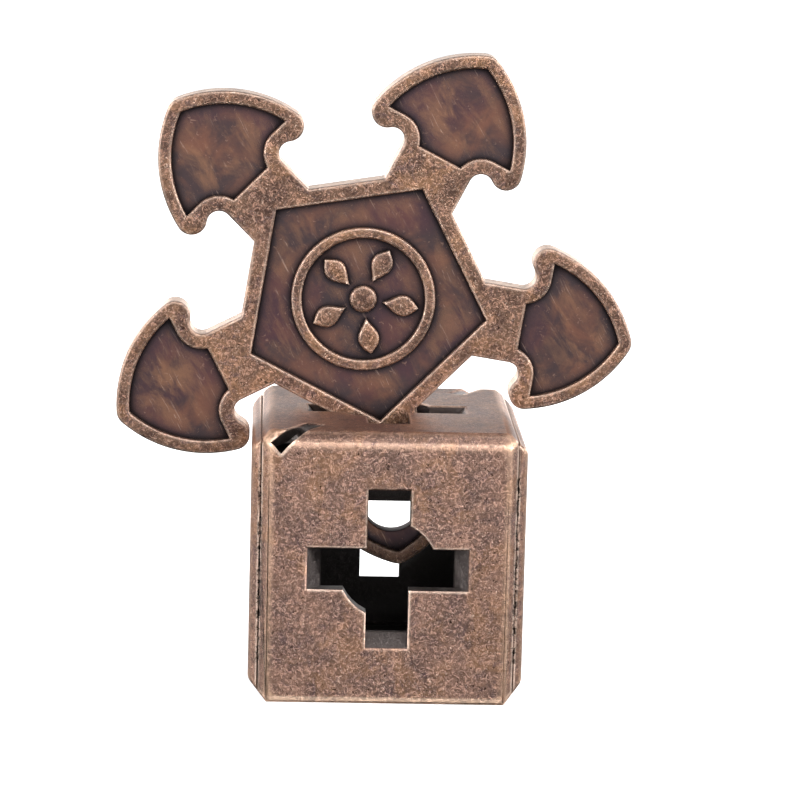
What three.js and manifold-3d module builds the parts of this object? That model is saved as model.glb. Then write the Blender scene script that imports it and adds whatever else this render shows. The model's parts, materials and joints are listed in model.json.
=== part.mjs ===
// A cast disentanglement puzzle: a hollow cube box with a cross-shaped opening in every face,
// and a flat five-armed star gear that rolls around it, one arm at a time going through a cross.
// Millimetres, +Z up. The box stands on z = 0 with its front face to -Y. The star gear stands
// in the box's mid plane, y = 0, leaning to the left, and x = 0 is halfway across the two.
import * as THREE from 'three';
import { mergeVertices } from 'three/addons/utils/BufferGeometryUtils.js';
import Module from 'manifold-3d';

const wasm = await Module();
wasm.setup();

// ---- box: driving dimensions ----
const BOX = 32;                   // outer side of the cube
const WALL = 2.2;                 // thickness of each of its six walls
const UPRIGHT_CHAMFER = 2.2;      // on the four upright edges, where the castings meet
const TOP_FRONT_CHAMFER = 1.4;    // on the front and back edges of the top
const TOP_SIDE_CHAMFER = 2.2;     // on its left and right edges
const BASE_SIDE_CHAMFER = 2.2;    // on the left and right edges of the base
const BASE_FRONT_CHAMFER = 0.35;  // on the front and back edges of the base
const SEAM = 0.3;                 // mitred joint between the two castings
const FIT_GAP = 0.3;              // between pieces that lie against each other

// ---- cross openings ----
const SLOT_GAP = 0.45;            // beside each face of the gear as it goes through
const CROSS_SPAN = 19;            // tip to tip on the outer face
const CROSS_TAPER = 1.8;          // how far each end wall leans in through the wall
const TURN_RADIUS = 5.7;          // round clearance cut in two inner corners, for the twist

// ---- edge notches, one over the top front edge and one over the top back edge ----
const NOTCH_RADIUS = 4.2;
const NOTCH_WIDTH = 1.7;
const NOTCH_FROM_MIDDLE = 10.2;   // along the edge, from the middle of the box
const NOTCH_IN = 1.7;             // centre of the cut, in from the face
const NOTCH_UP = 0.5;             // centre of the cut, above the top
const NOTCH_NORMAL = new THREE.Vector3(0.66, -0.38, -0.57);

// ---- pins that hold the two castings together ----
const PIN_DIAMETER = 2;
const PIN_LENGTH = 6;
const PIN_FIT = 0.1;              // on the radius
const PIN_RECESS = 0.2;           // pin ends sunk below the base
const PIN_INSET = 1.9;            // pin axis, in from the inner faces of the walls
const LUG_HEIGHT = 5.5;
const LUG_WALL = 1.2;             // metal around the pin

// ---- star gear: driving dimensions, for a box of GEAR_BOX; in its plane it grows with the box ----
const GEAR_BOX = 32;
const ARMS = 5;
const GEAR_THICKNESS = 4;
const POCKET_DEPTH = 0.8;         // on both faces
const BODY_APOTHEM = 13.8;        // centre to the flat sides of the pentagon body
const BODY_RIM = 1.9;             // raised border of the pentagon
const NECK_WIDTH = 8.9;
const FAN_ARC_AXIAL = 18.05;      // centre of a fan side's arc, out from the gear's centre
const FAN_ARC_RADIUS = 15.25;
const FAN_RIM = 1.55;
const TIP_RADIUS = 1.9;
const HOOK_RADIUS = 1.8;
const HOOK_BOTTOM = 19;           // lowest point of a hook, out from the gear's centre
const HOOK_ACROSS = 7.92;         // middle of a hook, from the arm's axis
const NOTCH_ARC_RADIUS = 1.45;     // hollow between neck and hook
const POCKET_BOTTOM = 19.05;      // straight inner edge of an arm's pocket
const HOOK_RIM = 1.8;             // rim around that hollow
const EYE_RADIUS = 3.45;          // hole through the arm that starts inside the box
const EYE_OUT = 24.9;

// ---- rosette in the middle of the gear ----
const RING_RADIUS = 8.5;
const RING_WIDTH = 1.25;
const HUB_RADIUS = 1.7;
const PETAL_FROM = 2.1;
const PETAL_LENGTH = 4.4;
const PETAL_WIDTH = 2.8;
const PETAL_BULGE = 0.6;          // widest point, as a share of the length
const RELIEF_SINK = 0.2;          // relief sunk into the pocket floor, so that it is one with it

// ---- the gear's pose: it rocks between two stops, where a hook comes down beside the box ----
const SEAT_BELOW_HOOKS = 5.47;    // from the circle of the hooks' lowest points to the box's top
const ROCK_RADIUS = 20;           // gear centre to the line it rocks about
const LEAN = THREE.MathUtils.degToRad(9.2);

const slotWidth = GEAR_THICKNESS + 2 * SLOT_GAP;
const gearScale = BOX / GEAR_BOX;
const rockRadius = ROCK_RADIUS * gearScale;
const centreDistance = BOX / 2 + (HOOK_BOTTOM - SEAT_BELOW_HOOKS) * gearScale;
const gearHeight = BOX / 2 + Math.sqrt(centreDistance ** 2 - (rockRadius * Math.sin(LEAN)) ** 2);
const rockHeight = gearHeight - rockRadius * Math.cos(LEAN);
const armStep = 2 * Math.PI / ARMS;

const metals = {
  gear: { color: 0x86675a, roughness: 0.42, metalness: 0.9 },
  upper: { color: 0x84655a, roughness: 0.48, metalness: 0.9 },
  lower: { color: 0x7a5c50, roughness: 0.48, metalness: 0.9 },
  pin: { color: 0x8f8680, roughness: 0.35, metalness: 1 },
};

// How far a cutter runs past the faces it cuts, so that no thin skin is left.
const OVERCUT = 1;

// ---- helpers: closed geometry to solids and back ----
function solid(geometry, matrix = new THREE.Matrix4()) {
  const plain = geometry.clone().applyMatrix4(matrix);
  for (const name of Object.keys(plain.attributes)) {
    if (name !== 'position') plain.deleteAttribute(name);
  }
  const merged = mergeVertices(plain, 1e-5);
  return new wasm.Manifold(new wasm.Mesh({
    numProp: 3,
    vertProperties: new Float32Array(merged.attributes.position.array),
    triVerts: new Uint32Array(merged.index.array),
  }));
}

function at(x, y, z) {
  return new THREE.Matrix4().makeTranslation(x, y, z);
}

function block(width, depth, height, x, y, z) {
  return solid(new THREE.BoxGeometry(width, depth, height), at(x, y, z));
}

function mesh(name, manifold, metal) {
  const data = manifold.getMesh();
  const geometry = new THREE.BufferGeometry();
  geometry.setAttribute('position', new THREE.BufferAttribute(data.vertProperties, 3));
  geometry.setIndex(new THREE.BufferAttribute(data.triVerts, 1));
  geometry.computeVertexNormals();
  const result = new THREE.Mesh(geometry, new THREE.MeshStandardMaterial(metals[metal]));
  result.name = name;
  return result;
}

// An outline in the gear's plane, extruded along the gear's axis between two depths.
function plate(shape, from, to, curveSegments = 8) {
  const geometry = new THREE.ExtrudeGeometry(shape, {
    depth: to - from, bevelEnabled: false, curveSegments,
  });
  return solid(geometry, at(0, 0, from));
}

// ---- box ----
// Turns that carry the top face's cutters to each face of the cube about its centre.
function faceTurns() {
  const quarter = Math.PI / 2;
  const sides = [0, 1, 2, 3].map((k) => new THREE.Matrix4().makeRotationZ(k * quarter)
    .multiply(new THREE.Matrix4().makeRotationX(quarter)));
  return [new THREE.Matrix4(), new THREE.Matrix4().makeRotationX(2 * quarter), ...sides];
}

// One slot with leaning end walls, cut down through the top face.
function slotCutter(turn) {
  const top = BOX / 2;
  const lean = CROSS_TAPER / WALL;
  const half = CROSS_SPAN / 2;
  const outer = half + lean * OVERCUT;
  const inner = half - lean * (WALL + OVERCUT);
  const side = new THREE.Shape([
    new THREE.Vector2(outer, top + OVERCUT),
    new THREE.Vector2(-outer, top + OVERCUT),
    new THREE.Vector2(-inner, top - WALL - OVERCUT),
    new THREE.Vector2(inner, top - WALL - OVERCUT),
  ]);
  const geometry = new THREE.ExtrudeGeometry(side, { depth: slotWidth, bevelEnabled: false });
  const stand = new THREE.Matrix4().makeRotationX(Math.PI / 2)
    .premultiply(at(0, slotWidth / 2, 0));
  return solid(geometry, new THREE.Matrix4().makeRotationZ(turn).multiply(stand));
}

// Quarter discs that clear two opposite inner corners of the cross.
function turnCutter() {
  const quarter = Math.PI / 2;
  const height = WALL + 2 * OVERCUT;
  const pie = new THREE.CylinderGeometry(TURN_RADIUS, TURN_RADIUS, height, 40);
  const disc = solid(pie, at(0, 0, BOX / 2 - WALL / 2)
    .multiply(new THREE.Matrix4().makeRotationX(quarter)));
  const reach = TURN_RADIUS + OVERCUT;
  const middle = BOX / 2 - WALL / 2;
  const tall = height + OVERCUT;
  const corner = block(reach, reach, tall, reach / 2, reach / 2, middle);
  const opposite = block(reach, reach, tall, -reach / 2, -reach / 2, middle);
  return disc.intersect(corner.add(opposite));
}

function crossCutter() {
  return slotCutter(0).add(slotCutter(Math.PI / 2)).add(turnCutter());
}

// A wide bar turned 45 degrees that takes a chamfer off one edge of the centred cube.
function edgeBar(axis, across, up, size) {
  const bar = BOX / 4;
  const shift = (bar / 2 - size / Math.SQRT2) / Math.SQRT2;
  const half = BOX / 2;
  const length = BOX + 2 * OVERCUT;
  const centre = new THREE.Vector3();
  const spin = new THREE.Matrix4();
  let dims = [];
  if (axis === 'x') {
    centre.set(0, across * (half + shift), up * (half + shift));
    spin.makeRotationX(Math.PI / 4);
    dims = [length, bar, bar];
  } else if (axis === 'y') {
    centre.set(across * (half + shift), 0, up * (half + shift));
    spin.makeRotationY(Math.PI / 4);
    dims = [bar, length, bar];
  } else {
    centre.set(across * (half + shift), up * (half + shift), 0);
    spin.makeRotationZ(Math.PI / 4);
    dims = [bar, bar, length];
  }
  return solid(new THREE.BoxGeometry(...dims), at(centre.x, centre.y, centre.z).multiply(spin));
}

// The whole hollow cube about its own centre, before it is parted into two castings.
function hollowCube() {
  const inside = BOX - 2 * WALL;
  let cube = block(BOX, BOX, BOX, 0, 0, 0);
  for (const side of [-1, 1]) {
    cube = cube.subtract(edgeBar('z', side, -1, UPRIGHT_CHAMFER));
    cube = cube.subtract(edgeBar('z', side, 1, UPRIGHT_CHAMFER));
    cube = cube.subtract(edgeBar('x', side, 1, TOP_FRONT_CHAMFER));
    cube = cube.subtract(edgeBar('y', side, 1, TOP_SIDE_CHAMFER));
    cube = cube.subtract(edgeBar('x', side, -1, BASE_FRONT_CHAMFER));
    cube = cube.subtract(edgeBar('y', side, -1, BASE_SIDE_CHAMFER));
  }
  cube = cube.subtract(block(inside, inside, inside, 0, 0, 0));
  for (const turn of faceTurns()) cube = cube.subtract(turned(crossCutter(), turn));
  for (const half of [0, Math.PI]) {
    cube = cube.subtract(turned(notchCutter(), new THREE.Matrix4().makeRotationZ(half)));
  }
  return cube;
}

function turned(manifold, matrix) {
  return manifold.transform(matrix.elements);
}

// A thin disc that cuts one slanted notch over the top front edge, near the left corner.
function notchCutter() {
  const disc = new THREE.CylinderGeometry(NOTCH_RADIUS, NOTCH_RADIUS, NOTCH_WIDTH, 32);
  const aim = new THREE.Matrix4().makeRotationFromQuaternion(new THREE.Quaternion()
    .setFromUnitVectors(new THREE.Vector3(0, 1, 0), NOTCH_NORMAL.clone().normalize()));
  return solid(disc, at(-NOTCH_FROM_MIDDLE, -BOX / 2 + NOTCH_IN, BOX / 2 + NOTCH_UP).multiply(aim));
}

// A square pyramid from near the cube's centre out through one face: its slopes are the mitres.
function mitreWedge(direction) {
  const height = BOX;
  const cone = new THREE.ConeGeometry(height * Math.SQRT2, height, 4);
  cone.rotateY(Math.PI / 4);
  cone.translate(0, -height / 2, 0);
  const aim = new THREE.Matrix4().makeRotationFromQuaternion(new THREE.Quaternion()
    .setFromUnitVectors(new THREE.Vector3(0, -1, 0), direction));
  const grow = direction.clone().multiplyScalar(-SEAM / Math.SQRT2);
  return solid(cone, at(grow.x, grow.y, grow.z).multiply(aim));
}

function wedges(directions) {
  return directions.map((d) => mitreWedge(new THREE.Vector3(...d)))
    .reduce((all, one) => all.add(one));
}

// Where the four pins stand, as x and y from the middle of the box.
function pinPlaces() {
  const out = BOX / 2 - WALL - PIN_INSET;
  return [[-out, -out], [out, -out], [out, out], [-out, out]];
}

function pinBody(radius, from, to) {
  const height = to - from;
  const upright = new THREE.Matrix4().makeRotationX(Math.PI / 2);
  return solid(new THREE.CylinderGeometry(radius, radius, height, 20),
    at(0, 0, from + height / 2).multiply(upright));
}

function boxUpper(cube) {
  let shell = cube.subtract(wedges([[1, 0, 0], [-1, 0, 0], [0, 0, -1]]))
    .translate([0, 0, BOX / 2]);
  const radius = PIN_DIAMETER / 2 + PIN_FIT;
  const wallFace = BOX / 2 - WALL;
  const size = PIN_INSET + radius + LUG_WALL;
  for (const [x, y] of pinPlaces()) {
    const lugX = Math.sign(x) * (wallFace - FIT_GAP - size / 2);
    const lugY = Math.sign(y) * (wallFace + WALL / 2 - (size + WALL / 2) / 2);
    shell = shell.add(block(size, size + WALL / 2, LUG_HEIGHT, lugX, lugY,
      WALL + FIT_GAP + LUG_HEIGHT / 2));
  }
  for (const [x, y] of pinPlaces()) {
    shell = shell.subtract(pinBody(radius, 0, PIN_RECESS + PIN_LENGTH + PIN_FIT)
      .translate([x, y, 0]));
  }
  return shell;
}

function boxLower(cube) {
  let shell = cube.subtract(wedges([[0, 1, 0], [0, -1, 0], [0, 0, 1]]))
    .translate([0, 0, BOX / 2]);
  const radius = PIN_DIAMETER / 2 + PIN_FIT;
  for (const [x, y] of pinPlaces()) {
    shell = shell.subtract(pinBody(radius, -OVERCUT, WALL + OVERCUT).translate([x, y, 0]));
  }
  return shell;
}

// ---- star gear ----
// Where the arcs of one arm's outline are centred, with the arm along +X and across along Y.
// A fan side's arc has its centre past the arm's axis, on the other side.
function armShape() {
  const hookAxial = HOOK_BOTTOM + HOOK_RADIUS;
  const arcAcross = Math.sqrt((FAN_ARC_RADIUS - HOOK_RADIUS) ** 2
    - (hookAxial - FAN_ARC_AXIAL) ** 2) - HOOK_ACROSS;
  const hollowAcross = NECK_WIDTH / 2 + NOTCH_ARC_RADIUS;
  const reach = HOOK_RADIUS + NOTCH_ARC_RADIUS;
  const hollowAxial = hookAxial - Math.sqrt(reach ** 2 - (HOOK_ACROSS - hollowAcross) ** 2);
  const tipAxial = FAN_ARC_AXIAL + Math.sqrt((FAN_ARC_RADIUS - TIP_RADIUS) ** 2 - arcAcross ** 2);
  return { hookAxial, arcAcross, hollowAcross, hollowAxial, tipAxial };
}

function armOutline() {
  const arm = armShape();
  const root = BODY_APOTHEM * Math.cos(armStep / 2);
  const shape = new THREE.Shape();
  const toHook = Math.atan2(HOOK_ACROSS - arm.hollowAcross, arm.hookAxial - arm.hollowAxial);
  const toFan = Math.atan2(HOOK_ACROSS + arm.arcAcross, arm.hookAxial - FAN_ARC_AXIAL);
  const toTip = Math.atan2(arm.arcAcross, arm.tipAxial - FAN_ARC_AXIAL);
  shape.moveTo(root / 2, -NECK_WIDTH / 2);
  shape.lineTo(arm.hollowAxial, -NECK_WIDTH / 2);
  shape.absarc(arm.hollowAxial, -arm.hollowAcross, NOTCH_ARC_RADIUS, Math.PI / 2, -toHook, true);
  shape.absarc(arm.hookAxial, -HOOK_ACROSS, HOOK_RADIUS, Math.PI - toHook, -toFan, false);
  shape.absarc(FAN_ARC_AXIAL, arm.arcAcross, FAN_ARC_RADIUS, -toFan, -toTip, false);
  shape.absarc(arm.tipAxial, 0, TIP_RADIUS, -toTip, toTip, false);
  shape.absarc(FAN_ARC_AXIAL, -arm.arcAcross, FAN_ARC_RADIUS, toTip, toFan, false);
  shape.absarc(arm.hookAxial, HOOK_ACROSS, HOOK_RADIUS, toFan, Math.PI + toHook, false);
  shape.absarc(arm.hollowAxial, arm.hollowAcross, NOTCH_ARC_RADIUS, toHook, -Math.PI / 2, true);
  shape.lineTo(root / 2, NECK_WIDTH / 2);
  return shape;
}

function pocketOutline() {
  const arm = armShape();
  const side = FAN_ARC_RADIUS - FAN_RIM;
  const ledge = NOTCH_ARC_RADIUS + HOOK_RIM;
  const shelf = arm.hollowAxial + ledge;
  const corner = Math.asin((shelf - FAN_ARC_AXIAL) / side);
  const apex = Math.asin(arm.arcAcross / side);
  const foot = Math.asin((POCKET_BOTTOM - arm.hollowAxial) / ledge);
  const shape = new THREE.Shape();
  shape.moveTo(POCKET_BOTTOM, -arm.hollowAcross + ledge * Math.cos(foot));
  shape.absarc(arm.hollowAxial, -arm.hollowAcross, ledge, Math.PI / 2 - foot, 0, true);
  shape.absarc(FAN_ARC_AXIAL, arm.arcAcross, side, corner - Math.PI / 2, -apex, false);
  shape.absarc(FAN_ARC_AXIAL, -arm.arcAcross, side, apex, Math.PI / 2 - corner, false);
  shape.absarc(arm.hollowAxial, arm.hollowAcross, ledge, 0, foot - Math.PI / 2, true);
  return shape;
}

function pentagon(apothem) {
  const radius = apothem / Math.cos(armStep / 2);
  const corners = [];
  for (let k = 0; k < ARMS; k += 1) {
    corners.push(new THREE.Vector2(radius * Math.cos(k * armStep), radius * Math.sin(k * armStep)));
  }
  return new THREE.Shape(corners);
}

function disc(radius) {
  const shape = new THREE.Shape();
  shape.absarc(0, 0, radius, 0, 2 * Math.PI, false);
  return shape;
}

function petalOutline() {
  const shape = new THREE.Shape();
  const end = PETAL_FROM + PETAL_LENGTH;
  const middle = PETAL_FROM + PETAL_LENGTH * PETAL_BULGE;
  shape.moveTo(PETAL_FROM, 0);
  shape.quadraticCurveTo(middle, -PETAL_WIDTH, end, 0);
  shape.quadraticCurveTo(middle, PETAL_WIDTH, PETAL_FROM, 0);
  return shape;
}

// A plain ring around a five-petalled flower, raised from the pocket floor on one face.
function rosette(from, to) {
  const rest = disc(RING_RADIUS);
  rest.holes.push(new THREE.Path().absarc(0, 0, RING_RADIUS - RING_WIDTH, 0, 2 * Math.PI, true));
  let relief = plate(rest, from, to, 20).add(plate(disc(HUB_RADIUS), from, to, 8));
  for (let k = 0; k < ARMS; k += 1) {
    const petal = plate(petalOutline(), from, to, 4);
    relief = relief.add(petal.rotate([0, 0, k * 360 / ARMS]));
  }
  return relief;
}

function starGear() {
  const half = GEAR_THICKNESS / 2;
  const floor = half - POCKET_DEPTH;
  const past = half + OVERCUT;
  let gear = plate(pentagon(BODY_APOTHEM), -half, half);
  for (let k = 0; k < ARMS; k += 1) {
    gear = gear.add(plate(armOutline(), -half, half, 6).rotate([0, 0, k * 360 / ARMS]));
  }
  for (const [from, to] of [[floor, past], [-past, -floor]]) {
    gear = gear.subtract(plate(pentagon(BODY_APOTHEM - BODY_RIM), from, to));
    for (let k = 0; k < ARMS; k += 1) {
      gear = gear.subtract(plate(pocketOutline(), from, to, 5).rotate([0, 0, k * 360 / ARMS]));
    }
  }
  const root = floor - RELIEF_SINK;
  gear = gear.add(rosette(root, half)).add(rosette(-half, -root));
  const eye = plate(disc(EYE_RADIUS), -past, past, 12).translate([EYE_OUT, 0, 0]);
  return gear.subtract(eye).scale([gearScale, gearScale, 1]);
}

// ---- the object ----
function build() {
  const group = new THREE.Group();
  const cube = hollowCube();
  group.add(mesh('box_upper_casting', boxUpper(cube), 'upper'));
  group.add(mesh('box_lower_casting', boxLower(cube), 'lower'));
  const pin = pinBody(PIN_DIAMETER / 2, 0, PIN_LENGTH);
  for (const [index, [x, y]] of pinPlaces().entries()) {
    const dowel = mesh(`dowel_pin_${index + 1}`, pin, 'pin');
    dowel.position.set(x, y, PIN_RECESS);
    group.add(dowel);
  }
  const rock = new THREE.Group();
  rock.position.set(0, 0, rockHeight);
  rock.rotation.y = -LEAN;
  const gear = mesh('star_gear', starGear(), 'gear');
  gear.position.set(0, 0, rockRadius);
  gear.rotation.set(-Math.PI / 2, Math.PI / 2, 0, 'YXZ');
  rock.add(gear);
  group.add(rock);
  const across = new THREE.Box3().setFromObject(group, true);
  group.position.x = -(across.min.x + across.max.x) / 2;
  return group;
}

export default build();
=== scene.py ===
# A pocket disentanglement puzzle in cast zinc: a hollow cube box with a cross through every face,
# and a flat five-armed star gear that stands in the cross on top. Metres, +Z up, front face to -Y.
import json
import math
import random

import bmesh
import bpy
from mathutils import Matrix, Vector, noise


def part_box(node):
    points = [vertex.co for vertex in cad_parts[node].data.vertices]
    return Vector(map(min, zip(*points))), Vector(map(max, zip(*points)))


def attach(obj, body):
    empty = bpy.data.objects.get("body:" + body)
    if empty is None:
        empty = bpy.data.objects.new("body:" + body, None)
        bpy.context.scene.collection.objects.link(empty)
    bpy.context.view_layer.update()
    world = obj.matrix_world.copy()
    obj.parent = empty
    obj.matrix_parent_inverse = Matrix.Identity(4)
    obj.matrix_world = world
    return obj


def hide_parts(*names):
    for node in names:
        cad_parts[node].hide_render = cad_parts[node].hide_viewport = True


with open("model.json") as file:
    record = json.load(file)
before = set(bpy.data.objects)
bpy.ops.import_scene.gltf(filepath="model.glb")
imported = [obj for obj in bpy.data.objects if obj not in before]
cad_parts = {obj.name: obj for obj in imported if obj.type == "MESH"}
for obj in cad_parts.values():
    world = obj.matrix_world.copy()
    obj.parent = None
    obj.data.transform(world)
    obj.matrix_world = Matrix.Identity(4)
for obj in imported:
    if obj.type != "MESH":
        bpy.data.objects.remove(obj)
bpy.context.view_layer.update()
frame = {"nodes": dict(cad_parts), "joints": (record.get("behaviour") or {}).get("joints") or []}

MM = 0.001
scene = bpy.context.scene


# ---- The box: two castings -----------------------------------------------------------------
# Two U-shaped walls of zinc alloy, die cast, then set crosswise into each other to close the
# cube. The upper one is front, top and back; the lower one is left, base and right. Their mitred
# joints run down the middle of the upright bevels and are rough from being peened shut.
box_low, box_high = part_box("box_lower_casting")
box_side = box_high.x - box_low.x
box_middle = Vector(((box_low.x + box_high.x) / 2, 0, box_side / 2))

upright_bevel = 2.2 * MM          # down the four corners, where the castings meet
side_bevel = 2.2 * MM             # left and right edges of the top and base
top_front_bevel = 1.4 * MM        # front and back edges of the top
base_front_bevel = 0.35 * MM
bevel_border_round = 0.5 * MM     # soft border of the wide bevels, from the tumbling barrel
crisp_edge_round = 0.16 * MM      # edges of the crosses, barely broken
joint_tear_spacing = 0.22 * MM    # along the joint, between points that tear on their own
joint_tear_width = 0.34 * MM      # widest tear to either side of the joint
joint_tear_foot = 3.2 * MM        # tears start this far above the base
joint_tear_head = 4.6 * MM        # and end this far below the top


def envelope_planes():
    """The flat faces and bevels that bound the cube, as normals and distances from its middle.
    Their first two parts hold for left and right, and for front and back."""
    half, slant = box_side / 2, math.sqrt(0.5)
    planes = [((1, 0, 0), half), ((0, 1, 0), half), ((0, 0, 1), half), ((0, 0, -1), half)]
    for normal, bevel in (((1, 1, 0), upright_bevel), ((1, 0, 1), side_bevel),
                          ((1, 0, -1), side_bevel), ((0, 1, 1), top_front_bevel),
                          ((0, 1, -1), base_front_bevel)):
        planes.append((tuple(n * slant for n in normal), (box_side - bevel) * slant))
    return planes


def soft_cube():
    """The whole cube, solid, with every bevel's border rounded as the barrel leaves it."""
    shape = bmesh.new()
    shy = 0.004 * MM              # inside the cast faces, so that it trims all of them cleanly
    bmesh.ops.create_cube(shape, size=box_side - 2 * shy)
    for normal, distance in envelope_planes()[4:]:
        for x in (-1, 1):
            for y in (-1, 1):
                facing = Vector((normal[0] * x, normal[1] * y, normal[2]))
                if (normal[0] == 0 and x < 0) or (normal[1] == 0 and y < 0):
                    continue
                cut = bmesh.ops.bisect_plane(
                    shape, geom=shape.verts[:] + shape.edges[:] + shape.faces[:],
                    plane_co=facing * (distance - shy), plane_no=facing, clear_outer=True)
                rim = [g for g in cut["geom_cut"] if isinstance(g, bmesh.types.BMEdge)]
                bmesh.ops.edgeloop_fill(shape, edges=rim)
    bmesh.ops.recalc_face_normals(shape, faces=shape.faces)
    soft = []
    for edge in shape.edges:
        on_base_front = all(v.co.z < 1 * MM - box_side / 2 and abs(v.co.y) > box_side / 2 - 1 * MM
                            for v in edge.verts)
        if edge.calc_face_angle(0.0) > math.radians(12) and not on_base_front:
            soft.append(edge)
    bmesh.ops.bevel(shape, geom=soft, offset=bevel_border_round, offset_type="OFFSET",
                    segments=5, profile=0.5, affect="EDGES", clamp_overlap=False)
    bmesh.ops.recalc_face_normals(shape, faces=shape.faces)
    bmesh.ops.translate(shape, verts=shape.verts, vec=box_middle)
    return hidden_solid("soft_cube", shape)


def hidden_solid(name, shape):
    """A working solid for cutting with; it is removed once the castings are done."""
    mesh = bpy.data.meshes.new(name)
    shape.to_mesh(mesh)
    shape.free()
    tool = bpy.data.objects.new(name, mesh)
    scene.collection.objects.link(tool)
    return tool


def torn_joints():
    """Ragged slivers down the four upright joints, where the peened metal has torn out."""
    shape = bmesh.new()
    random.seed(5)
    corner = (box_side - upright_bevel) / 2
    for x in (-1, 1):
        for y in (-1, 1):
            outward = Vector((x, y, 0)) * math.sqrt(0.5)
            across = Vector((x, -y, 0)) * math.sqrt(0.5)
            low, high = joint_tear_foot - box_side / 2, box_side / 2 - joint_tear_head
            steps = int((high - low) / joint_tear_spacing)
            rows = []
            for i in range(steps + 1):
                z = low + (high - low) * i / steps
                middle = box_middle + Vector((x * corner, y * corner, z))
                taper = min(1.0, 6 * i / steps, 6 * (steps - i) / steps)
                wide = [0.05 * MM + taper * joint_tear_width * max(0.0, 0.30 + 0.75 * noise.noise(
                    middle / (0.55 * MM) + Vector((0, 0, 9 * side))) + random.uniform(-0.2, 0.2))
                    for side in (1, 2)]
                deep = (0.16 + 0.22 * random.random()) * MM
                rows.append([shape.verts.new(middle + outward * up + across * out) for up, out in (
                    (0.6 * MM, wide[0]), (0.6 * MM, -wide[1]),
                    (-deep, -wide[1] * 0.8), (-deep, wide[0] * 0.8))])
            for near, far in zip(rows, rows[1:]):
                for i in range(4):
                    shape.faces.new((near[i], near[(i + 1) % 4], far[(i + 1) % 4], far[i]))
            shape.faces.new(rows[0])
            shape.faces.new(reversed(rows[-1]))
    bmesh.ops.recalc_face_normals(shape, faces=shape.faces)
    bmesh.ops.triangulate(shape, faces=shape.faces)
    return hidden_solid("torn_joints", shape)


def finished_casting(name, node_name, cube, tears):
    """The casting as the barrel leaves it: soft borders, torn joints, and the crosses' sharp
    edges barely broken."""
    raw = bmesh.new()
    raw.from_mesh(frame["nodes"][node_name].data)
    bmesh.ops.remove_doubles(raw, verts=raw.verts, dist=0.002 * MM)
    piece = hidden_solid(name, raw)
    for operation, tool in (("INTERSECT", cube), ("DIFFERENCE", tears)):
        cut = piece.modifiers.new(operation.lower(), "BOOLEAN")
        cut.operation, cut.object, cut.solver = operation, tool, "MANIFOLD"
    bpy.context.view_layer.update()
    done = bpy.data.meshes.new_from_object(
        piece.evaluated_get(bpy.context.evaluated_depsgraph_get()))
    piece.modifiers.clear()
    shape = bmesh.new()
    shape.from_mesh(done)
    bmesh.ops.remove_doubles(shape, verts=shape.verts, dist=0.002 * MM)
    # The ragged faces round the joints keep their triangles; flat faces elsewhere are joined up.
    torn = {face for face in shape.faces if abs(face.normal.z) < 0.1
            and min(abs(face.normal.x), abs(face.normal.y)) > 0.3}
    held = {vert for face in torn for vert in face.verts}
    bmesh.ops.dissolve_limit(
        shape, angle_limit=math.radians(0.3), verts=[v for v in shape.verts if v not in held],
        edges=[e for e in shape.edges if not torn.intersection(e.link_faces)])
    crisp = []
    for edge in shape.edges:
        spots = [sorted(abs(c) for c in v.co - box_middle) for v in edge.verts]
        at_a_cross = all(s[2] > box_side / 2 - 0.05 * MM and s[1] < 10.2 * MM for s in spots)
        if at_a_cross and edge.is_convex and edge.calc_face_angle(0.0) > math.radians(28):
            crisp.append(edge)
    bmesh.ops.bevel(shape, geom=crisp, offset=crisp_edge_round, offset_type="OFFSET",
                    segments=3, profile=0.5, affect="EDGES", clamp_overlap=False)
    bmesh.ops.triangulate(shape, faces=[f for f in shape.faces if len(f.verts) > 4],
                          ngon_method="EAR_CLIP")
    for face in shape.faces:
        face.smooth = True
    shape.to_mesh(done)
    shape.free()
    done.set_sharp_from_angle(angle=math.radians(32))
    done.materials.clear()
    piece.data = done
    flatten = piece.modifiers.new("flat faces stay flat", "WEIGHTED_NORMAL")
    flatten.keep_sharp = True
    flatten.weight = 90
    return piece


def linear(hex_colour):
    """An sRGB hex colour as the linear values that shaders take."""
    parts = [int(hex_colour[i:i + 2], 16) / 255 for i in (1, 3, 5)]
    return [p / 12.92 if p <= 0.04045 else ((p + 0.055) / 1.055) ** 2.4 for p in parts] + [1.0]


def add(tree, kind, settings=None, values=None, links=None):
    """Adds one shader node: its settings, its socket values, and the sockets that feed it."""
    made = tree.nodes.new(kind)
    for key, value in (settings or {}).items():
        setattr(made, key, value)
    for key, value in (values or {}).items():
        made.inputs[key].default_value = value
    for key, source in (links or {}).items():
        tree.links.new(source, made.inputs[key])
    return made


def new_metal(name):
    """An empty metal with its shader, and the coordinates that its patterns are laid out in."""
    metal = bpy.data.materials.new(name)
    metal.use_nodes = True
    tree = metal.node_tree
    shader = tree.nodes["Principled BSDF"]
    shader.inputs["Metallic"].default_value = 1.0
    place = add(tree, "ShaderNodeTexCoord").outputs["Object"]
    return metal, tree, shader, place


def spread(tree, place, size_mm, detail=4.0, rough=0.6, twist=0.0, shift=0.0, drawn=1.0,
           slope=37):
    """Cloudy pattern whose patches are about size_mm across, from 0 to 1. Drawn out, they are
    that many times longer along a line at slope degrees above level."""
    moved = shift * 20 * MM
    turned = add(tree, "ShaderNodeMapping", {"vector_type": "TEXTURE"}, {
        "Location": (moved, moved * 0.7, -moved), "Rotation": (0, math.radians(-slope), 0),
        "Scale": (drawn, 1, 1)}, {"Vector": place}).outputs["Vector"]
    return add(tree, "ShaderNodeTexNoise", values={
        "Scale": 0.5 / (size_mm * MM), "Detail": detail, "Roughness": rough,
        "Distortion": twist}, links={"Vector": turned}).outputs["Fac"]


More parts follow.
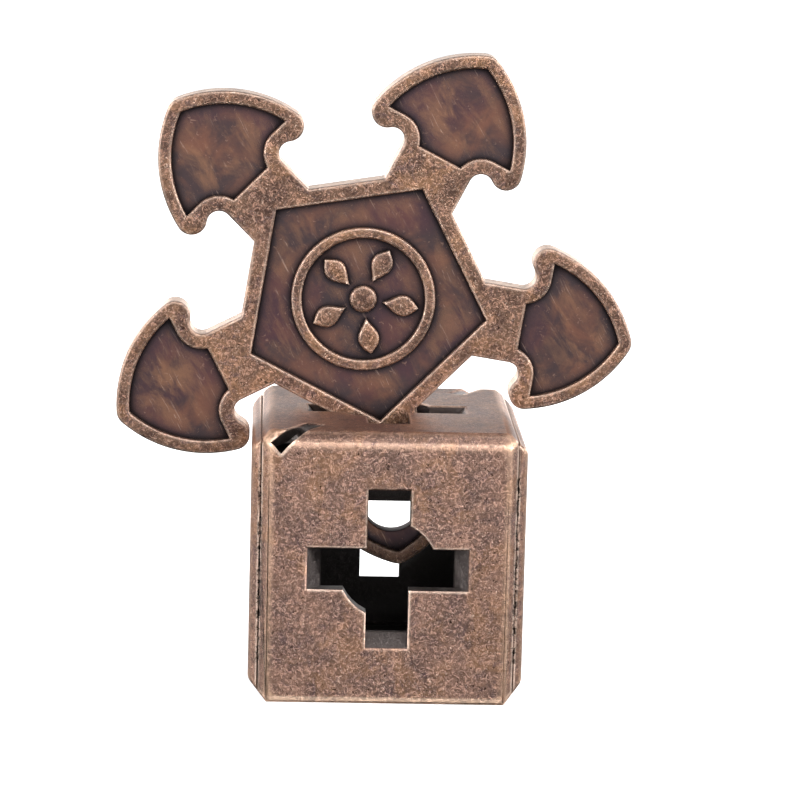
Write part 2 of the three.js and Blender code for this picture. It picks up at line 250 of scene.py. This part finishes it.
def between(tree, source, low, high):
    """0 where source is under low, 1 where it is over high, smooth in between."""
    return add(tree, "ShaderNodeMapRange", {"interpolation_type": "SMOOTHSTEP"},
               {"From Min": low, "From Max": high}, {"Value": source}).outputs["Result"]


def times(tree, first, second, operation="MULTIPLY"):
    """The two multiplied, or added or subtracted, and kept from 0 to 1."""
    made = add(tree, "ShaderNodeMath", {"operation": operation, "use_clamp": True})
    for socket, source in zip(made.inputs, (first, second)):
        if isinstance(source, (int, float)):
            socket.default_value = source
        else:
            tree.links.new(source, socket)
    return made.outputs["Value"]


def tint(tree, under, over, amount):
    """Lays the colour over on the colour under, by amount. Colours are hex or sockets."""
    made = add(tree, "ShaderNodeMix", {"data_type": "RGBA"})
    for socket, source in ((made.inputs[0], amount), (made.inputs[6], under),
                           (made.inputs[7], over)):
        if isinstance(source, str):
            socket.default_value = linear(source)
        elif isinstance(source, (int, float)):
            socket.default_value = source
        else:
            tree.links.new(source, socket)
    return made.outputs[2]


def antique_copper(name, shift, ground, shade, glow, on_box=False):
    """Copper plate on zinc, blackened in a bath and tumbled with stones until the high spots
    shine. The eye sees brown clouds, small curled pink and golden flecks where stones struck,
    dark pits, bright rubbed edges, and dark concave corners: the bath's patina with painted
    shade laid over it."""
    metal, tree, shader, place = new_metal(name)
    clouds = between(tree, spread(tree, place, 2.2, 6, 0.70, 0.6, shift), 0.38, 0.62)
    warm = between(tree, spread(tree, place, 3.4, 5, 0.65, 1.0, shift + 3), 0.48, 0.64)
    blots = between(tree, spread(tree, place, 0.95, 6, 0.74, 1.2, shift + 7), 0.52, 0.66)
    curls = between(tree, spread(tree, place, 0.40, 5, 0.74, 2.6, shift + 5), 0.50, 0.64)
    mottle = spread(tree, place, 0.24, 4, 0.8, 1.0, shift + 8)
    sparks = between(tree, spread(tree, place, 0.20, 3, 0.7, 1.8, shift + 6), 0.58, 0.70)
    grain = spread(tree, place, 0.15, 3, 0.75, 0.0, shift + 9)
    pits = between(tree, spread(tree, place, 0.26, 3, 0.66, 0.8, shift + 11), 0.61, 0.68)
    strokes = times(tree, between(tree, spread(tree, place, 0.12, 2, 0.5, 0.5, shift + 13, 16, 125),
                                  0.64, 0.72), blots)
    # Local occlusion finds the concave corners, so that painted shade can darken them over the
    # patina.
    nook = add(tree, "ShaderNodeAmbientOcclusion", {"samples": 8, "only_local": True},
               {"Distance": 1.8 * MM}).outputs["AO"]
    corner_patina_and_shade = between(tree, nook, 0.70, 0.30)
    patchy = between(tree, spread(tree, place, 0.6, 4, 0.7, 0.8, shift + 15), 0.30, 0.60)
    edge = add(tree, "ShaderNodeAmbientOcclusion", {
        "samples": 8, "inside": True, "only_local": True}, {"Distance": 0.45 * MM})
    rub = times(tree, between(tree, edge.outputs["AO"], 0.94, 0.62),
                between(tree, patchy, -0.5, 0.8))

    colour = tint(tree, shade, ground, clouds)
    colour = tint(tree, colour, "#b3855f", times(tree, warm, 0.45))
    colour = tint(tree, colour, "#675459", times(tree, blots, 0.62))
    colour = tint(tree, colour, glow, times(tree, curls, 0.62))
    colour = tint(tree, colour, "#4c3a36", times(tree, between(tree, mottle, 0.50, 0.28), 0.55))
    colour = tint(tree, colour, "#d9b09a", times(tree, between(tree, mottle, 0.52, 0.74), 0.60))
    colour = tint(tree, colour, "#fbd9c2", times(tree, times(tree, sparks, 0.85), patchy))
    colour = tint(tree, colour, "#f0c9ae", times(tree, strokes, 0.45))
    colour = tint(tree, colour, "#2b1f1b", times(tree, pits, 0.75))
    colour = tint(tree, colour, "#ffe3cf", times(tree, rub, 0.82))
    # Painted shade, with the bath's patina: concave corners darkened near black.
    colour = tint(tree, colour, "#211917", times(tree, corner_patina_and_shade, 0.92))
    height = times(tree, times(tree, grain, 0.45), times(tree, curls, 0.40), "ADD")
    height = times(tree, height, times(tree, mottle, 0.35), "ADD")
    height = times(tree, height, times(tree, pits, 0.7), "SUBTRACT")
    roughness = times(tree, times(tree, grain, 0.30), 0.25, "ADD")
    if on_box:
        # Worn borders, and painted shade that makes the inside of the box near black.
        colour = worn_borders_and_shaded_inside(tree, place, colour, patchy)
        colour, height = pitted_joint(tree, place, colour, height)
    tree.links.new(colour, shader.inputs["Base Color"])
    tree.links.new(roughness, shader.inputs["Roughness"])
    shader.inputs["Coat Weight"].default_value = 0.3
    shader.inputs["Coat Roughness"].default_value = 0.3
    bump = add(tree, "ShaderNodeBump", values={"Strength": 0.75, "Distance": 0.08 * MM},
               links={"Height": height})
    tree.links.new(bump.outputs["Normal"], shader.inputs["Normal"])
    return metal


def worn_borders_and_shaded_inside(tree, place, colour, patchy):
    """Rubs the bevels' borders and the outer edges bright, and makes the walls of the crosses
    charcoal grey. The inside of the box is painted near black, as painted shade."""
    centred = add(tree, "ShaderNodeVectorMath", {"operation": "SUBTRACT"},
                  {1: box_middle}, {0: place}).outputs["Vector"]
    parts = add(tree, "ShaderNodeSeparateXYZ", links={"Vector": centred}).outputs
    right, back = [add(tree, "ShaderNodeMath", {"operation": "ABSOLUTE"},
                       links={0: parts[axis]}).outputs["Value"] for axis in ("X", "Y")]
    folded = add(tree, "ShaderNodeCombineXYZ", links={"X": right, "Y": back, "Z": parts["Z"]})
    fade = 0.30 * MM
    total = None
    for normal, distance in envelope_planes():
        along = add(tree, "ShaderNodeVectorMath", {"operation": "DOT_PRODUCT"}, {1: normal},
                    {0: folded.outputs["Vector"]}).outputs["Value"]
        depth = add(tree, "ShaderNodeMath", {"operation": "MULTIPLY_ADD"},
                    {1: 1 / fade, 2: -distance / fade}, {0: along}).outputs["Value"]
        closeness = add(tree, "ShaderNodeMath", {"operation": "EXPONENT"},
                        links={0: depth}).outputs["Value"]
        if total is None:
            total = closeness
        else:
            total = add(tree, "ShaderNodeMath", {"operation": "ADD"},
                        links={0: total, 1: closeness}).outputs["Value"]
    border = times(tree, between(tree, total, 1.10, 1.80), between(tree, patchy, -0.35, 0.8))
    colour = tint(tree, colour, "#ecc4a6", times(tree, border, 0.72))
    # Charcoal grey on the walls of the crosses, below the outer faces.
    colour = tint(tree, colour, "#6a6361", times(tree, between(tree, total, 0.72, 0.35), 0.96))
    # Painted shade: everything deeper inside the box than the cross walls goes near black.
    return tint(tree, colour, "#1c1b1b", times(tree, between(tree, total, 0.002, 0.0003), 0.97))


def pitted_joint(tree, place, colour, height):
    """Black pits and bright torn specks within a millimetre of the upright mitred joints."""
    centred = add(tree, "ShaderNodeVectorMath", {"operation": "SUBTRACT"},
                  {1: box_middle}, {0: place}).outputs["Vector"]
    size = add(tree, "ShaderNodeVectorMath", {"operation": "ABSOLUTE"},
               links={0: centred}).outputs["Vector"]
    parts = add(tree, "ShaderNodeSeparateXYZ", links={"Vector": size}).outputs
    apart = add(tree, "ShaderNodeMath", {"operation": "SUBTRACT"},
                links={0: parts["X"], 1: parts["Y"]}).outputs["Value"]
    apart = add(tree, "ShaderNodeMath", {"operation": "ABSOLUTE"},
                links={0: apart}).outputs["Value"]
    wide = add(tree, "ShaderNodeMapRange", {"interpolation_type": "SMOOTHSTEP"},
               {"From Min": 1.0 * MM, "From Max": 0.1 * MM}, {"Value": apart}).outputs["Result"]
    in_height = between(tree, parts["Z"], box_side / 2 - 3.4 * MM, box_side / 2 - 5.4 * MM)
    near = times(tree, wide, in_height)
    torn = spread(tree, place, 0.34, 3, 0.65, 1.0, 21)
    pits = times(tree, near, between(tree, torn, 0.50, 0.56))
    specks = times(tree, near, between(tree, torn, 0.40, 0.36))
    colour = tint(tree, colour, "#1a1211", times(tree, pits, 0.95))
    colour = tint(tree, colour, "#e8c6b2", times(tree, specks, 0.6))
    height = times(tree, height, times(tree, pits, 0.9), "SUBTRACT")
    return colour, height


box_copper = antique_copper("tumbled antique copper plate on the box castings", 2.0,
                            "#9b7969", "#765e57", "#d8aa95", on_box=True)
whole_cube, joint_tears = soft_cube(), torn_joints()
upper = finished_casting("upper_casting", "box_upper_casting", whole_cube, joint_tears)
lower = finished_casting("lower_casting", "box_lower_casting", whole_cube, joint_tears)
for tool in (whole_cube, joint_tears):
    bpy.data.objects.remove(tool)
for casting, node_name, slot in ((upper, "box_upper_casting", "box_upper"),
                                 (lower, "box_lower_casting", "box_lower")):
    casting.data.materials.append(box_copper)
    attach(casting, "box")
    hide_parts(node_name)


# ---- Four dowel pins -----------------------------------------------------------------------
# Plain steel dowels, pressed up through the base into lugs inside the upper casting. Their ends
# were filed flush before plating, so they show as small dull discs in the base's corners.
def filed_steel(name):
    """Steel filed flat and plated over: grey brown with fine straight file lines."""
    metal, tree, shader, place = new_metal(name)
    lines = spread(tree, place, 0.09, 3, 0.6, 0.0, 31, 16, 0)
    stain = between(tree, spread(tree, place, 0.8, 4, 0.6, 0.6, 33), 0.4, 0.62)
    colour = tint(tree, "#a2928a", "#6b5a52", stain)
    colour = tint(tree, colour, "#c9bdb4", times(tree, between(tree, lines, 0.55, 0.7), 0.6))
    tree.links.new(colour, shader.inputs["Base Color"])
    tree.links.new(times(tree, times(tree, lines, 0.3), 0.25, "ADD"), shader.inputs["Roughness"])
    bump = add(tree, "ShaderNodeBump", values={"Strength": 0.4, "Distance": 0.03 * MM},
               links={"Height": lines})
    tree.links.new(bump.outputs["Normal"], shader.inputs["Normal"])
    return metal


pin_steel = filed_steel("filed steel of the dowel pins")
for number in (1, 2, 3, 4):
    low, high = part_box(f"dowel_pin_{number}")
    radius = (high.x - low.x) / 2
    ends_round = 0.2 * MM
    profile = [(0, low.z), (radius - ends_round, low.z), (radius, low.z + ends_round),
               (radius, high.z - ends_round), (radius - ends_round, high.z), (0, high.z)]
    shape = bmesh.new()
    line = [shape.verts.new((r, 0, z)) for r, z in profile]
    spine = [shape.edges.new(pair) for pair in zip(line, line[1:])]
    bmesh.ops.spin(shape, geom=line + spine, cent=(0, 0, 0), axis=(0, 0, 1),
                   angle=2 * math.pi, steps=32)
    bmesh.ops.remove_doubles(shape, verts=shape.verts, dist=0.001 * MM)
    bmesh.ops.recalc_face_normals(shape, faces=shape.faces)
    bmesh.ops.translate(shape, verts=shape.verts,
                        vec=((low.x + high.x) / 2, (low.y + high.y) / 2, 0))
    for face in shape.faces:
        face.smooth = True
    mesh = bpy.data.meshes.new(f"dowel_{number}")
    shape.to_mesh(mesh)
    shape.free()
    mesh.set_sharp_from_angle(angle=math.radians(40))
    mesh.materials.append(pin_steel)
    dowel = bpy.data.objects.new(f"dowel_{number}", mesh)
    scene.collection.objects.link(dowel)
    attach(dowel, "box")
    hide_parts(f"dowel_pin_{number}")


# ---- The star gear -------------------------------------------------------------------------
# One flat zinc casting, 4 mm thick: a pentagon with five fan-headed arms. Raised rims stand
# around sunk pockets on both faces, with a plain ring and five-petal rosette in the middle.
# The arm that starts inside the box has a round eye through its pocket.
arms = 5
arm_step = 2 * math.pi / arms
half_thick = 2.0 * MM
pocket_depth = 0.8 * MM
body_flat = 13.8 * MM             # centre to the flat sides of the pentagon
body_rim = 1.9 * MM
neck_half = 4.45 * MM
fan_out = 18.05 * MM              # centre of a fan side's arc, out from the middle
fan_radius = 15.25 * MM
fan_rim = 1.55 * MM
tip_radius = 1.9 * MM
hook_radius = 1.8 * MM
hook_out = 20.8 * MM
hook_across = 7.92 * MM
hollow_radius = 1.45 * MM         # round bite between neck and hook
hook_rim = 1.8 * MM
pocket_foot = 19.05 * MM
eye_radius = 3.45 * MM
eye_out = 24.9 * MM
rim_round = 0.26 * MM             # tumbled edges of the rims
arc_spacing = 0.22 * MM           # between the points of a round stretch of outline
same_point = 0.004 * MM           # points nearer than this are one

hollow_across = neck_half + hollow_radius
hollow_out = hook_out - math.sqrt((hook_radius + hollow_radius) ** 2
                                  - (hook_across - hollow_across) ** 2)
fan_across = math.sqrt((fan_radius - hook_radius) ** 2 - (hook_out - fan_out) ** 2) - hook_across
tip_out = fan_out + math.sqrt((fan_radius - tip_radius) ** 2 - fan_across ** 2)


def arc(out, across, radius, start, end):
    """Points round an arc, arc_spacing apart, or six of them if it is shorter than that."""
    steps = max(5, int(abs(end - start) * radius / arc_spacing))
    return [(out + radius * math.cos(start + (end - start) * i / steps),
             across + radius * math.sin(start + (end - start) * i / steps))
            for i in range(steps + 1)]


def joined(points):
    """The same line without points that lie on top of each other."""
    kept = []
    for point in points:
        if not kept or math.dist(point, kept[-1]) > same_point:
            kept.append(point)
    if math.dist(kept[0], kept[-1]) < same_point:
        kept.pop()
    return kept


def turned(points, angle):
    """The points turned by angle round the gear's middle."""
    c, s = math.cos(angle), math.sin(angle)
    return [(x * c - y * s, x * s + y * c) for x, y in points]


def arm_line():
    """Half of one arm from its tip down to the neck, then the whole arm by mirroring it."""
    to_hook = math.atan2(hook_across - hollow_across, hook_out - hollow_out)
    to_fan = math.atan2(hook_across + fan_across, hook_out - fan_out)
    to_tip = math.atan2(fan_across, tip_out - fan_out)
    root = (body_flat - neck_half * math.sin(arm_step / 2)) / math.cos(arm_step / 2)
    half = arc(tip_out, 0, tip_radius, 0, to_tip)
    half += arc(fan_out, -fan_across, fan_radius, to_tip, to_fan)
    half += arc(hook_out, hook_across, hook_radius, to_fan, math.pi + to_hook)
    half += arc(hollow_out, hollow_across, hollow_radius, to_hook, -math.pi / 2)
    half += [(root, neck_half)]
    other = [(x, -y) for x, y in reversed(half)]
    return other + half


def gear_line():
    """The gear's outer edge, all five arms."""
    points = []
    for k in range(arms):
        points += turned(arm_line(), k * arm_step)
    return joined(points)


def pocket_line(k):
    """The sunk pocket of arm k, with a straight foot and shelves round the two hollows."""
    side = fan_radius - fan_rim
    ledge = hollow_radius + hook_rim
    shelf = hollow_out + ledge
    corner = math.asin((shelf - fan_out) / side)
    apex = math.asin(fan_across / side)
    foot = math.asin((pocket_foot - hollow_out) / ledge)
    half = arc(fan_out, -fan_across, side, apex, math.pi / 2 - corner)
    half += arc(hollow_out, hollow_across, ledge, 0, foot - math.pi / 2)
    other = [(x, -y) for x, y in reversed(half)]
    return turned(joined(other + half), k * arm_step)


def pentagon_line(flat):
    """A pentagon whose sides lie flat from the middle, corners towards the arms."""
    reach = flat / math.cos(arm_step / 2)
    return [(reach * math.cos(k * arm_step), reach * math.sin(k * arm_step)) for k in range(arms)]


def plate(name, outline, holes, half, edge_round):
    """A flat plate with holes, its edges rounded by edge_round on both faces."""
    line = bpy.data.curves.new(name, "CURVE")
    line.dimensions = "2D"
    line.fill_mode = "BOTH"
    line.extrude = half - edge_round
    line.bevel_depth = edge_round
    line.bevel_resolution = 3
    line.offset = -edge_round
    for points in [outline] + holes:
        spline = line.splines.new("POLY")
        spline.points.add(len(points) - 1)
        for spot, (x, y) in zip(spline.points, points):
            spot.co = (x, y, 0, 1)
        spline.use_cyclic_u = True
    flat = bpy.data.objects.new(name, line)
    scene.collection.objects.link(flat)
    bpy.context.view_layer.update()
    mesh = bpy.data.meshes.new_from_object(flat.evaluated_get(
        bpy.context.evaluated_depsgraph_get()))
    bpy.data.objects.remove(flat)
    return mesh


def circle(radius, out=0.0):
    """A circle whose middle lies out along the first arm."""
    return joined(arc(out, 0, radius, 0, 2 * math.pi))


def petal_line(k):
    """One pointed petal, fullest past its middle."""
    start, length, width = 2.3 * MM, 4.3 * MM, 1.25 * MM
    side = [(start + length * t, width * math.sin(math.pi * t ** 1.25)) for t in
            [i / 16 for i in range(17)]]
    return turned(joined(side + [(x, -y) for x, y in reversed(side)]), k * arm_step)


def gear_copper():
    return antique_copper("tumbled antique copper plate on the gear's rims", 40.0,
                          "#826452", "#5c453c", "#d0a088")


def pocket_patina():
    """The blackening bath's dark patina, which the tumbling stones hardly reach in the pockets:
    plum and brown inside, greyer towards the rims, rubbed golden in the middle. Painted shade
    makes it near black at the foot of the rims."""
    metal, tree, shader, place = new_metal("dark patina in the gear's pockets")
    clouds = between(tree, spread(tree, place, 2.6, 4, 0.6, 0.5, 51), 0.38, 0.64)
    plum = between(tree, spread(tree, place, 5.0, 3, 0.5, 0.5, 53), 0.45, 0.62)
    brushed = spread(tree, place, 1.3, 5, 0.66, 0.5, 55, 2.6, 122)
    golden = between(tree, brushed, 0.40, 0.66)
    flecks = between(tree, spread(tree, place, 0.3, 4, 0.65, 1.0, 57), 0.62, 0.70)
    strokes = times(tree, between(tree, spread(tree, place, 0.11, 2, 0.5, 0.8, 59, 14, 118),
                                  0.62, 0.72), golden)
    grain = spread(tree, place, 0.2, 3, 0.7, 0.0, 61)
    near = add(tree, "ShaderNodeAmbientOcclusion", {"samples": 8}, {"Distance": 1.6 * MM})
    wide = add(tree, "ShaderNodeAmbientOcclusion", {"samples": 8}, {"Distance": 5.0 * MM})
    # Painted shade at the foot of the rims, found by occlusion.
    foot = between(tree, near.outputs["AO"], 0.94, 0.55)
    middle = between(tree, wide.outputs["AO"], 0.90, 0.985)
    colour = tint(tree, "#5c4c4d", "#8c6355", clouds)
    colour = tint(tree, colour, "#66464f", times(tree, plum, 0.6))
    colour = tint(tree, colour, "#48464c", times(tree, between(tree, wide.outputs["AO"], 0.96, 0.80),
                                                 0.65))
    colour = tint(tree, colour, "#ab7f64", times(tree, times(tree, golden, middle), 0.72))
    colour = tint(tree, colour, "#c49c88", times(tree, flecks, 0.40))
    colour = tint(tree, colour, "#e0c0ae", times(tree, strokes, 0.40))
    # Painted shade: near black where the floors meet the rims.
    colour = tint(tree, colour, "#1b1718", times(tree, foot, 0.92))
    tree.links.new(colour, shader.inputs["Base Color"])
    roughness = times(tree, times(tree, grain, 0.25), 0.30, "ADD")
    tree.links.new(roughness, shader.inputs["Roughness"])
    height = times(tree, times(tree, grain, 0.6), times(tree, strokes, 0.3), "SUBTRACT")
    bump = add(tree, "ShaderNodeBump", values={"Strength": 0.45, "Distance": 0.05 * MM},
               links={"Height": height})
    tree.links.new(bump.outputs["Normal"], shader.inputs["Normal"])
    return metal


pockets = [pocket_line(k) for k in range(arms)] + [pentagon_line(body_flat - body_rim)]
ring_radius, ring_width = 8.5 * MM, 1.25 * MM
relief_height = half_thick - 0.02 * MM
rims = plate("rims", gear_line(), pockets, half_thick, rim_round)
floors = plate("floors", gear_line(), [circle(eye_radius, eye_out)], half_thick - pocket_depth,
               0.15 * MM)
ring = plate("ring", circle(ring_radius), [circle(ring_radius - ring_width)], relief_height,
             0.28 * MM)
hub = plate("hub", circle(1.6 * MM), [], relief_height, 0.4 * MM)
petals = [plate(f"petal_{k}", petal_line(k), [], relief_height, 0.3 * MM) for k in range(arms)]

gear_shape = bmesh.new()
for mesh, slot_index in [(rims, 0), (floors, 1), (ring, 0), (hub, 0)] + [(p, 0) for p in petals]:
    count = len(gear_shape.faces)
    gear_shape.from_mesh(mesh)
    gear_shape.faces.ensure_lookup_table()
    for face in gear_shape.faces[count:]:
        face.material_index = slot_index
        face.smooth = True
bmesh.ops.remove_doubles(gear_shape, verts=gear_shape.verts, dist=0.0005 * MM)

hinge = frame["joints"][0]
lean = math.radians(9.2)
rock_radius = 20 * MM
down = Vector((math.sin(lean), 0, -math.cos(lean)))
gear_middle = Vector(hinge["pos_m"]) - down * rock_radius
stand = Matrix.Translation(gear_middle) @ Matrix((
    (down.x, down.z, 0, 0), (0, 0, 1, 0), (down.z, -down.x, 0, 0), (0, 0, 0, 1)))
gear_shape.transform(stand)
gear_mesh = bpy.data.meshes.new("star_gear_casting")
gear_shape.to_mesh(gear_mesh)
gear_shape.free()
gear_mesh.materials.append(gear_copper())
gear_mesh.materials.append(pocket_patina())
gear_mesh.set_sharp_from_angle(angle=math.radians(35))
star = bpy.data.objects.new("star_gear_casting", gear_mesh)
scene.collection.objects.link(star)
flatten = star.modifiers.new("flat faces stay flat", "WEIGHTED_NORMAL")
flatten.keep_sharp = True
flatten.weight = 90
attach(star, "gear")
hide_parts("star_gear")


# ---- Floor and light -----------------------------------------------------------------------
# A wide white sweep under the puzzle, with three soft lamps in front and two behind, in a pale
# room that is darker below the table's edge.
floor_shape = bmesh.new()
bmesh.ops.create_circle(floor_shape, cap_ends=True, segments=96, radius=4.0)
floor_mesh = bpy.data.meshes.new("white_floor")
floor_shape.to_mesh(floor_mesh)
floor_shape.free()
floor = bpy.data.objects.new("white_floor", floor_mesh)
floor.location.z = -0.02 * MM
scene.collection.objects.link(floor)
paper = bpy.data.materials.new("white paper sweep")
paper.use_nodes = True
paper_shader = paper.node_tree.nodes["Principled BSDF"]
paper_shader.inputs["Base Color"].default_value = linear("#f4f4f4")
paper_shader.inputs["Roughness"].default_value = 0.9
paper_shader.inputs["Emission Color"].default_value = linear("#ffffff")
paper_shader.inputs["Emission Strength"].default_value = 0.55
floor_mesh.materials.append(paper)
floor.visible_glossy = False
floor.visible_diffuse = False

room = bpy.data.worlds.new("pale room")
scene.world = room
room.use_nodes = True
sky = room.node_tree
height = add(sky, "ShaderNodeSeparateXYZ", links={
    "Vector": add(sky, "ShaderNodeTexCoord").outputs["Generated"]}).outputs["Z"]
tones = add(sky, "ShaderNodeValToRGB", links={"Fac": add(
    sky, "ShaderNodeMapRange", values={"From Min": -1.0, "From Max": 1.0},
    links={"Value": height}).outputs["Result"]})
ramp = tones.color_ramp
ramp.elements[0].position, ramp.elements[0].color = 0.0, (0.06, 0.06, 0.06, 1)
ramp.elements[1].position, ramp.elements[1].color = 1.0, (0.5, 0.5, 0.5, 1)
for stop, tone in ((0.33, 0.08), (0.42, 0.86), (0.56, 0.92), (0.68, 0.55)):
    ramp.elements.new(stop).color = (tone, tone, tone, 1)
sky.links.new(tones.outputs["Color"], sky.nodes["Background"].inputs["Color"])
sky.nodes["Background"].inputs["Strength"].default_value = 1.0


def soft_lamp(name, where, aim, width, power):
    """A square soft box of that width in metres, turned to face aim."""
    lamp = bpy.data.lights.new(name, "AREA")
    lamp.shape = "SQUARE"
    lamp.size = width
    lamp.energy = power
    stand_in = bpy.data.objects.new(name, lamp)
    stand_in.location = where
    stand_in.rotation_euler = (Vector(aim) - Vector(where)).to_track_quat("-Z", "Y").to_euler()
    scene.collection.objects.link(stand_in)


soft_lamp("front_top", (0.10, -0.36, 0.44), (0, 0, 0.04), 0.26, 1.5)
soft_lamp("front_left", (-0.38, -0.30, 0.15), (0, 0, 0.03), 0.30, 2.0)
soft_lamp("front_right", (0.40, -0.28, 0.18), (0, 0, 0.03), 0.30, 2.0)
soft_lamp("back_left", (-0.36, 0.38, 0.24), (0, 0, 0.04), 0.34, 1.5)
soft_lamp("back_right", (0.36, 0.38, 0.24), (0, 0, 0.04), 0.34, 1.5)



# ---- Camera --------------------------------------------------------------------------------
# A long lens a little above the box and slightly to its left, with the gear almost face on.
lens_eye = Vector((box_middle.x - 14.9 * MM, -430.4 * MM, 112.0 * MM))
view = bpy.data.cameras.new("view")
view.sensor_width = 36
view.lens = 165.7
view.clip_start, view.clip_end = 0.01, 20
camera = bpy.data.objects.new("view", view)
camera.location = lens_eye
camera.rotation_euler = [math.radians(a) for a in (79.61, -1.43, -1.92)]
scene.collection.objects.link(camera)
scene.camera = camera
scene.view_settings.view_transform = "Standard"
